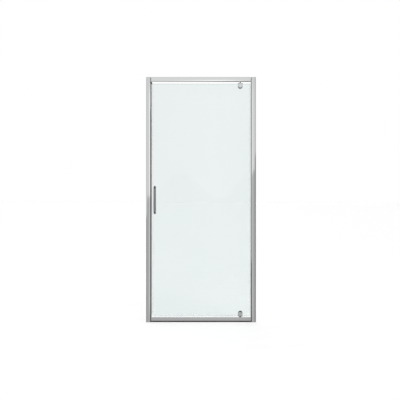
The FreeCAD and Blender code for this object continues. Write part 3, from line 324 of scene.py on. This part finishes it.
# ------------------------------------------------------ metals
DIE_LINE = 1.1                  # mm between the faint lines that a die leaves along a profile
DIE_LINE_HEIGHT = 0.005         # mm
DIE_LINE_SQUEEZE = 0.004        # across to along, so a line runs for about 275 mm
POLISH_DRIFT = 71.4             # mm, how soon the tint changes across, where the wheel went
CAST_WAVE = 16.0                # mm, the long waviness of a polished casting
CAST_WAVE_HEIGHT = 0.02         # mm
CAST_GLOSS_DRIFT = 0.3          # share by which the wave changes the roughness
TURNING = 0.6                   # mm, drawn coarser than real turning marks so that they show
TURNING_HEIGHT = 0.01           # mm


def along_scale(axis, squeeze):
    """Mapping scale that draws a pattern out along one axis."""
    return [squeeze if letter == axis else 1.0 for letter in "XYZ"]


def extruded_aluminium(name, along):
    """Bright dipped, polished and anodised aluminium: a mirror with faint straight lines along the
    profile and slow changes of tint, where the polishing wheel went."""
    material, tree = begin(name)
    place = add(tree, "TexCoord").outputs["Object"]
    drawn_out = add(tree, "Mapping", {
        "Vector": place, "Scale": along_scale(along, DIE_LINE_SQUEEZE),
    }).outputs[0]
    lines = add(tree, "TexNoise", {
        "Vector": drawn_out, "Scale": 1 / (DIE_LINE * MM), "Detail": 2.0,
    }).outputs[0]
    polish = add(tree, "TexNoise", {
        "Vector": drawn_out, "Scale": 1 / (POLISH_DRIFT * MM), "Detail": 1.0,
    }).outputs[0]
    tint = add(tree, "ValToRGB", {0: polish}, tints("#E2E3E5", "#EFF0F0")).outputs[0]
    gloss = add(tree, "MapRange", {0: lines, "To Min": 0.015, "To Max": 0.07}).outputs[0]
    bump = add(tree, "Bump", {
        "Height": lines, "Strength": 0.12, "Distance": DIE_LINE_HEIGHT * MM,
    }).outputs[0]
    shader = add(tree, "BsdfPrincipled", {
        "Base Color": tint, "Metallic": 1.0, "Roughness": gloss, "Normal": bump,
    })
    add(tree, "OutputMaterial", {0: shader.outputs[0]})
    return material


def chrome(name, dark, light, rough):
    """Chromium plate, nearly colourless and a little blue: it shows the base metal's polish, with
    the faint waviness that a polished casting or bent rod keeps."""
    material, tree = begin(name)
    place = add(tree, "TexCoord").outputs["Object"]
    wave = add(tree, "TexNoise", {
        "Vector": place, "Scale": 1 / (CAST_WAVE * MM), "Detail": 1.5,
    }).outputs[0]
    tint = add(tree, "ValToRGB", {0: wave}, tints(dark, light)).outputs[0]
    gloss = add(tree, "MapRange", {
        0: wave, "To Min": rough * (1 - CAST_GLOSS_DRIFT), "To Max": rough * (1 + CAST_GLOSS_DRIFT),
    }).outputs[0]
    bump = add(tree, "Bump", {
        "Height": wave, "Strength": 0.15, "Distance": CAST_WAVE_HEIGHT * MM,
    }).outputs[0]
    shader = add(tree, "BsdfPrincipled", {
        "Base Color": tint, "Metallic": 1.0, "Roughness": gloss, "Normal": bump,
    })
    add(tree, "OutputMaterial", {0: shader.outputs[0]})
    return material


def turned_steel():
    """Stainless steel as it comes off a screw machine: a warm grey, with the soft gloss and fine
    grain that the cutting tool leaves."""
    material, tree = begin("turned_stainless_steel")
    place = add(tree, "TexCoord").outputs["Object"]
    grain = add(tree, "TexNoise", {
        "Vector": place, "Scale": 1 / (TURNING * MM), "Detail": 3.0,
    }).outputs[0]
    tint = add(tree, "ValToRGB", {0: grain}, tints("#BDBCB9", "#C5C4C1")).outputs[0]
    gloss = add(tree, "MapRange", {0: grain, "To Min": 0.24, "To Max": 0.34}).outputs[0]
    bump = add(tree, "Bump", {
        "Height": grain, "Strength": 0.12, "Distance": TURNING_HEIGHT * MM,
    }).outputs[0]
    shader = add(tree, "BsdfPrincipled", {
        "Base Color": tint, "Metallic": 1.0, "Roughness": gloss, "Normal": bump,
    })
    add(tree, "OutputMaterial", {0: shader.outputs[0]})
    return material


# ------------------------------------------------------ glass
ROLLER_WAVE = 300.0             # mm between the waves that furnace rollers leave in toughened glass
ROLLER_WAVE_HEIGHT = 0.02       # mm
FACE_ON, EDGE_ON = 0.9, 0.5     # how squarely a big face and a polished edge look forwards
TOP_EDGE_PAINTED_LINE = 3.4                 # mm, a painted dark line under the top edge, where the polished edge bends light away; drawn wide to show
TOP_EDGE_PAINTED_LINE_SHARE = 0.8           # how much of the edges' green the painted line has


def toughened_glass():
    """6 mm toughened float glass: clear with a cool green cast that is deeper at its polished
    edges, a painted dark line under the top edge, and the slight ripple of the furnace rollers."""
    material, tree = begin("clear_toughened_glass")
    place = add(tree, "TexCoord").outputs["Object"]
    ripple = add(tree, "TexNoise", {
        "Vector": place, "Scale": 1 / (ROLLER_WAVE * MM), "Detail": 0.0,
    }).outputs[0]
    cast = add(tree, "ValToRGB", {0: ripple}, [
        (0.2, linear("#E9F0F0")), (0.8, linear("#EBF1F1")),
    ]).outputs[0]
    across = add(tree, "SeparateXYZ", {0: add(tree, "TexCoord").outputs["Normal"]}).outputs["Y"]
    squarely = add(tree, "Math", {0: across}, operation="ABSOLUTE").outputs[0]
    side = add(tree, "MapRange", {
        0: squarely, "From Min": FACE_ON, "From Max": EDGE_ON,
    }).outputs[0]
    # Painted shade: a dark green line under the top edge, for the light that the polished edge
    # bends away.
    height = add(tree, "SeparateXYZ", {0: place}).outputs["Z"]
    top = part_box("glass_panel")[1].z
    line = add(tree, "MapRange", {
        0: height, "From Min": top - TOP_EDGE_PAINTED_LINE * MM, "From Max": top - TOP_EDGE_PAINTED_LINE / 2 * MM,
        "To Max": TOP_EDGE_PAINTED_LINE_SHARE,
    }).outputs[0]
    edge = add(tree, "Math", {0: side, 1: line}, operation="MAXIMUM").outputs[0]
    tint = add(tree, "Mix", {
        0: edge, 6: cast, 7: linear("#A9C9BF"),
    }, data_type="RGBA").outputs[2]
    bump = add(tree, "Bump", {
        "Height": ripple, "Strength": 0.04, "Distance": ROLLER_WAVE_HEIGHT * MM,
    }).outputs[0]
    shader = add(tree, "BsdfPrincipled", {
        "Base Color": tint, "Roughness": 0.0, "IOR": 1.52, "Transmission Weight": 1.0,
        "Normal": bump,
    })
    add(tree, "OutputMaterial", {0: shader.outputs[0]})
    return material


# ------------------------------------------------------ plastics and rubbers
SEAL_LINE = 0.9                 # mm between the die lines of an extruded seal
SEAL_LINE_HEIGHT = 0.005        # mm
SEAL_LINE_SQUEEZE = 0.01        # across to along, so a line runs for about 90 mm
SEAL_IOR = 1.25                 # PVC's own 1.53 would show the seals more than the photograph does
PLASTIC_DRIFT = 40.0            # mm, the slow changes of colour in a moulding
GRAIN_HEIGHT = 0.03             # mm
GRAIN_GLOSS = 0.08              # how far the grain takes the roughness up and down


def clear_pvc(name, along):
    """Clear soft PVC: water white, glossy, with faint die lines along it that bend the light."""
    material, tree = begin(name)
    place = add(tree, "TexCoord").outputs["Object"]
    drawn_out = add(tree, "Mapping", {
        "Vector": place, "Scale": along_scale(along, SEAL_LINE_SQUEEZE),
    }).outputs[0]
    lines = add(tree, "TexNoise", {
        "Vector": drawn_out, "Scale": 1 / (SEAL_LINE * MM), "Detail": 2.0,
    }).outputs[0]
    tint = add(tree, "ValToRGB", {0: lines}, tints("#FDFEFE", "#FFFFFF")).outputs[0]
    gloss = add(tree, "MapRange", {0: lines, "To Min": 0.01, "To Max": 0.05}).outputs[0]
    bump = add(tree, "Bump", {
        "Height": lines, "Strength": 0.06, "Distance": SEAL_LINE_HEIGHT * MM,
    }).outputs[0]
    shader = add(tree, "BsdfPrincipled", {
        "Base Color": tint, "Roughness": gloss, "IOR": SEAL_IOR, "Transmission Weight": 1.0,
        "Normal": bump,
    })
    add(tree, "OutputMaterial", {0: shader.outputs[0]})
    return material


def moulded(name, dark, light, rough, grain_mm, shine=0.5):
    """A moulded or extruded plastic or rubber: a slow drift of colour, and the fine even grain of
    the mould or die, drawn several times coarser than it is so that it shows."""
    material, tree = begin(name)
    place = add(tree, "TexCoord").outputs["Object"]
    grain = add(tree, "TexNoise", {
        "Vector": place, "Scale": 1 / (grain_mm * MM), "Detail": 2.0,
    }).outputs[0]
    drift = add(tree, "TexNoise", {
        "Vector": place, "Scale": 1 / (PLASTIC_DRIFT * MM), "Detail": 2.0,
    }).outputs[0]
    tint = add(tree, "ValToRGB", {0: drift}, tints(dark, light)).outputs[0]
    gloss = add(tree, "MapRange", {
        0: grain, "To Min": rough - GRAIN_GLOSS, "To Max": rough + GRAIN_GLOSS,
    }).outputs[0]
    bump = add(tree, "Bump", {
        "Height": grain, "Strength": 0.25, "Distance": GRAIN_HEIGHT * MM,
    }).outputs[0]
    shader = add(tree, "BsdfPrincipled", {
        "Base Color": tint, "Roughness": gloss, "Specular IOR Level": shine, "Normal": bump,
    })
    add(tree, "OutputMaterial", {0: shader.outputs[0]})
    return material


# ------------------------------------------------------ modelling helpers
MERGE = 1e-5                    # m, vertices nearer than this are one
SMOOTH_ANGLE = 32               # degrees; a sharper edge isn't shaded smooth
FLAT_ANGLE = 0.5                # degrees, faces nearer than this to one plane are joined
EDGE_ANGLE = 24                 # degrees; a sharper edge is rounded
EDGE_SEGMENTS = 3


def only(piece):
    """Select one piece and nothing else."""
    bpy.ops.object.select_all(action="DESELECT")
    piece.select_set(True)
    bpy.context.view_layer.objects.active = piece


def select(test):
    """In edit mode, select the vertices whose place passes the test, and nothing else."""
    bpy.ops.mesh.select_all(action="DESELECT")
    shape = bmesh.from_edit_mesh(bpy.context.object.data)
    for vertex in shape.verts:
        vertex.select = test(vertex.co)
    shape.select_flush(True)
    bmesh.update_edit_mesh(bpy.context.object.data)


def centre(node):
    """The middle of a node's box."""
    low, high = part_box(node)
    return (low + high) / 2


def finish(piece, body, node):
    """Settle the piece's place in its mesh, hang it on its body, and hide the node that it stands
    for.
    """
    only(piece)
    bpy.ops.object.transform_apply(location=True, rotation=True, scale=True)
    bpy.ops.object.shade_smooth_by_angle(angle=math.radians(SMOOTH_ANGLE))
    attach(piece, body)
    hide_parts(node)


# ------------------------------------------------------ pieces with rounded edges
ROUNDED = [                     # node, the piece that stands for it, radius in mm, body, slot
    ("head_clamp_outer", "head_clamp_outer_plate", 0.45, "leaf", "chromed_zinc"),
    ("head_clamp_inner", "head_clamp_inner_plate", 0.45, "leaf", "chromed_zinc"),
    ("sill_clamp_outer", "sill_clamp_outer_plate", 0.45, "leaf", "chromed_zinc"),
    ("sill_clamp_inner", "sill_clamp_inner_plate", 0.45, "leaf", "chromed_zinc"),
    ("channel_cap_left", "channel_end_cap_left", 0.4, "wall_channel_left_body", "grey_abs"),
    ("adjuster_covers_left", "adjuster_snap_covers_left", 0.35, "wall_channel_left_body",
     "grey_abs"),
    ("channel_cap_right", "channel_end_cap_right", 0.4, "wall_channel_right_body", "grey_abs"),
    ("adjuster_covers_right", "adjuster_snap_covers_right", 0.35, "wall_channel_right_body",
     "grey_abs"),
    ("stop_block_top", "upper_stop_block", 0.3, "frame", "black_nylon"),
    ("stop_block_sill", "lower_stop_block", 0.3, "frame", "black_nylon"),
    ("handle_inner_caps", "handle_inner_buttons", 0.35, "leaf", "chromed_zinc"),
]


def round_edges(node, name, radius, body, slot):
    """A copy of a node with its sharp edges rounded, as polishing or a mould leaves them. Its
    triangles are joined into whole faces first."""
    only(nodes[node])
    bpy.ops.object.duplicate()
    piece = bpy.context.object
    piece.name = name
    bpy.ops.object.mode_set(mode="EDIT")
    bpy.ops.mesh.select_all(action="SELECT")
    bpy.ops.mesh.customdata_custom_splitnormals_clear()
    bpy.ops.mesh.remove_doubles(threshold=MERGE)
    bpy.ops.mesh.dissolve_limited(angle_limit=math.radians(FLAT_ANGLE))
    bpy.ops.object.mode_set(mode="OBJECT")
    bevel = piece.modifiers.new("edges", "BEVEL")
    bevel.width = radius * MM
    bevel.segments = EDGE_SEGMENTS
    bevel.limit_method = "ANGLE"
    bevel.angle_limit = math.radians(EDGE_ANGLE)
    bpy.ops.object.modifier_apply(modifier="edges")
    finish(piece, body, node)
    weigh = piece.modifiers.new("normals", "WEIGHTED_NORMAL")
    weigh.keep_sharp = True
    bpy.ops.object.modifier_apply(modifier="normals")


# ------------------------------------------------------ screws
SOCKET_SIDES, SOCKET_CUTS = 6, 7    # the cuts in each side let it join a round rim evenly
SCREW_EDGE = 0.25               # mm, the bevel round the head
SCREW_TIP = 0.5                 # mm, the bevel at the tip
SLACK = 0.01                    # mm, when vertices are picked by their place
CLAMP_SCREW = {"head": 9.0, "shank": 5.0, "length": 21.6, "socket": 3.2, "deep": 2.2}
BEARING_SCREW = {"head": 6.6, "shank": 4.0, "length": 11.0, "socket": 2.4, "deep": 1.3}
CLAMP_SCREW_SPACING, BEARING_SCREW_SPACING = 10.0, 36.0


def sunk_screw(name, head, shank, length, socket, deep):
    """A countersunk screw with a hexagon socket. Its head is flush with the origin and looks up."""
    bpy.ops.object.select_all(action="DESELECT")
    bpy.ops.mesh.primitive_circle_add(vertices=SOCKET_SIDES, radius=socket / 2 * MM)
    piece = bpy.context.object
    piece.name = name
    bpy.ops.object.mode_set(mode="EDIT")
    bpy.ops.mesh.select_all(action="SELECT")
    bpy.ops.mesh.subdivide(number_cuts=SOCKET_CUTS)
    rim = head / 2 - SCREW_EDGE
    around = SOCKET_SIDES * (SOCKET_CUTS + 1)
    bpy.ops.mesh.primitive_circle_add(vertices=around, radius=rim * MM)
    bpy.ops.mesh.select_all(action="SELECT")
    bpy.ops.mesh.bridge_edge_loops()

    # From the rim down: bevel, countersink, shank and tip.
    radius, level = rim, 0.0
    sink = (head - shank) / 2
    for wide, down in [
        (head / 2, SCREW_EDGE), (shank / 2, sink + SCREW_EDGE), (shank / 2, length - SCREW_TIP),
        (shank / 2 - SCREW_TIP, length),
    ]:
        select(lambda place: place.xy.length > (radius - SLACK) * MM
               and abs(place.z + level * MM) < MERGE)
        bpy.ops.mesh.extrude_region_move(
            TRANSFORM_OT_translate={"value": (0, 0, (level - down) * MM)})
        bpy.ops.transform.resize(
            value=(wide / radius, wide / radius, 1), center_override=(0, 0, 0))
        radius, level = wide, down
    bpy.ops.mesh.edge_face_add()

    # The socket.
    select(lambda place: place.xy.length < (socket / 2 + SLACK) * MM and abs(place.z) < MERGE)
    bpy.ops.mesh.extrude_region_move(TRANSFORM_OT_translate={"value": (0, 0, -deep * MM)})
    bpy.ops.mesh.edge_face_add()
    bpy.ops.mesh.select_all(action="SELECT")
    bpy.ops.mesh.normals_make_consistent(inside=False)
    bpy.ops.object.mode_set(mode="OBJECT")
    return piece


def screw_pair(node, name, size, turn, middle, spacing, body):
    """Two screws of one size side by side, for the node that holds their plain shapes."""
    first = sunk_screw(name, **size)
    first.rotation_euler = turn
    first.location = (middle[0] - spacing / 2 * MM, middle[1], middle[2])
    bpy.ops.object.transform_apply(location=True, rotation=True)
    bpy.ops.object.duplicate()
    bpy.ops.transform.translate(value=(spacing * MM, 0, 0))
    first.select_set(True)
    bpy.context.view_layer.objects.active = first
    bpy.ops.object.join()
    finish(first, body, node)


# ------------------------------------------------------ new pieces and finishes
def model_screws():
    """The clamps' screws, seen from the shower side, and the bearing blocks' screws."""
    to_shower, down, up = (math.radians(-90), 0, 0), (math.radians(180), 0, 0), (0, 0, 0)
    for end in ("head", "sill"):
        node = end + "_clamp_screws"
        middle, face = centre(node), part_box(node)[1].y
        screw_pair(node, end + "_clamp_socket_screws", CLAMP_SCREW, to_shower,
                   (middle.x, face, middle.z), CLAMP_SCREW_SPACING, "leaf")
    for end, turn, face in [
        ("head", down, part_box("head_bearing_screws")[0].z),
        ("sill", up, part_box("sill_bearing_screws")[1].z),
    ]:
        node = end + "_bearing_screws"
        middle = centre(node)
        screw_pair(node, end + "_bearing_socket_screws", BEARING_SCREW, turn,
                   (middle.x, middle.y, face), BEARING_SCREW_SPACING, "frame")


def paint(material, *names):
    """Give pieces and nodes one material, in place of what they came with."""
    for name in names:
        slots = bpy.data.objects[name].data.materials
        slots.clear()
        slots.append(material)


def finish_surfaces():
    """Every visible piece and node gets its real finish."""
    paint(extruded_aluminium("polished_aluminium_upright", "Z"),
          "wall_channel_left", "wall_channel_right", "strike_jamb", "pivot_jamb")
    paint(extruded_aluminium("polished_aluminium_rail", "X"), "head_rail", "sill_rail")

    # Buffed before plating: nearly a mirror, so each bevel shows one tone with a crisp edge.
    paint(chrome("bright_chrome_on_zinc", "#DDE0E2", "#E8EAEB", rough=0.07),
          "head_clamp_outer_plate", "head_clamp_inner_plate", "sill_clamp_outer_plate",
          "sill_clamp_inner_plate", "handle_inner_buttons")
    # Satin, from brass dulled before plating: greyer, with soft streaks of light along the rod.
    paint(chrome("satin_chrome_on_brass", "#B4B6B8", "#BEC0C2", rough=0.1),
          "handle_bar", "handle_posts")
    # Dull and dark grey, much darker than the bright clamps beside it.
    paint(chrome("dark_dull_chrome_on_brass", "#64676A", "#707376", rough=0.3),
          "head_pivot_spindle", "sill_pivot_spindle")
    paint(turned_steel(),
          "corner_screws", "head_bearing_socket_screws", "sill_bearing_socket_screws",
          "thrust_washer", "adjuster_screws_left", "adjuster_screws_right",
          "head_clamp_socket_screws", "sill_clamp_socket_screws", "handle_bolts")

    paint(toughened_glass(), "glass_panel")
    paint(clear_pvc("clear_pvc_upright", "Z"), "door_magnet_seal", "tail_seal")
    paint(clear_pvc("clear_pvc_level", "X"), "drip_seal_long", "drip_seal_tail")

    # Rigid PVC from a die: light grey and satin, so it goes with the aluminium without its mirror.
    paint(moulded("grey_extruded_pvc", "#D6D8D8", "#DDDFDF", rough=0.35, grain_mm=0.8),
          "strike_magnet_carrier", "pivot_jamb_filler")
    # Nylon from an etched mould: near black and dull, two dark dots from the front.
    paint(moulded("black_moulded_nylon", "#0E0E0E", "#131313", rough=0.55, grain_mm=0.7,
                  shine=0.25),
          "upper_stop_block", "lower_stop_block")
    # ABS coloured to match the metal: a flat silver grey with a soft, even shine.
    paint(moulded("silver_grey_abs", "#A9ABAC", "#B2B4B5", rough=0.4, grain_mm=0.6),
          "channel_end_cap_left", "channel_end_cap_right", "adjuster_snap_covers_left",
          "adjuster_snap_covers_right", "jamb_caps")
    # Extruded rubber, full of soot: the blackest line of the door, with hardly any shine.
    paint(moulded("black_epdm_rubber", "#080808", "#0D0D0D", rough=0.7, grain_mm=0.9, shine=0.1),
          "sill_seal")
    # Rubber full of ferrite powder: a matt brown black core inside the seal and the carrier.
    paint(moulded("ferrite_magnet_rubber", "#3A3734", "#45413D", rough=0.6, grain_mm=0.5),
          "strike_magnet", "door_magnet")
    # Soft pads pressed between clamp and glass: a pale milky line round the clamp.
    paint(moulded("clear_tpu_pad", "#DDE2E2", "#E6EAEA", rough=0.3, grain_mm=0.6),
          "head_clamp_gaskets", "sill_clamp_gaskets")
    # Acetal: dense white with a waxy shine.
    paint(moulded("white_acetal", "#E6E5E0", "#EFEEEA", rough=0.35, grain_mm=0.5),
          "head_bearing_block", "sill_bearing_block", "head_bearing_bush", "sill_bearing_bush")
    # Nylon with no pigment: cream, and a little duller than the acetal.
    paint(moulded("natural_nylon", "#E2DFD2", "#EBE8DC", rough=0.4, grain_mm=0.5),
          "handle_washers", "handle_sleeves")


# ------------------------------------------------------ the scene
place_camera()
build_world()
light_studio()
lay_floor()
model_screws()
for row in ROUNDED:
    round_edges(*row)
finish_surfaces()
bpy.context.scene.view_settings.view_transform = "Standard"
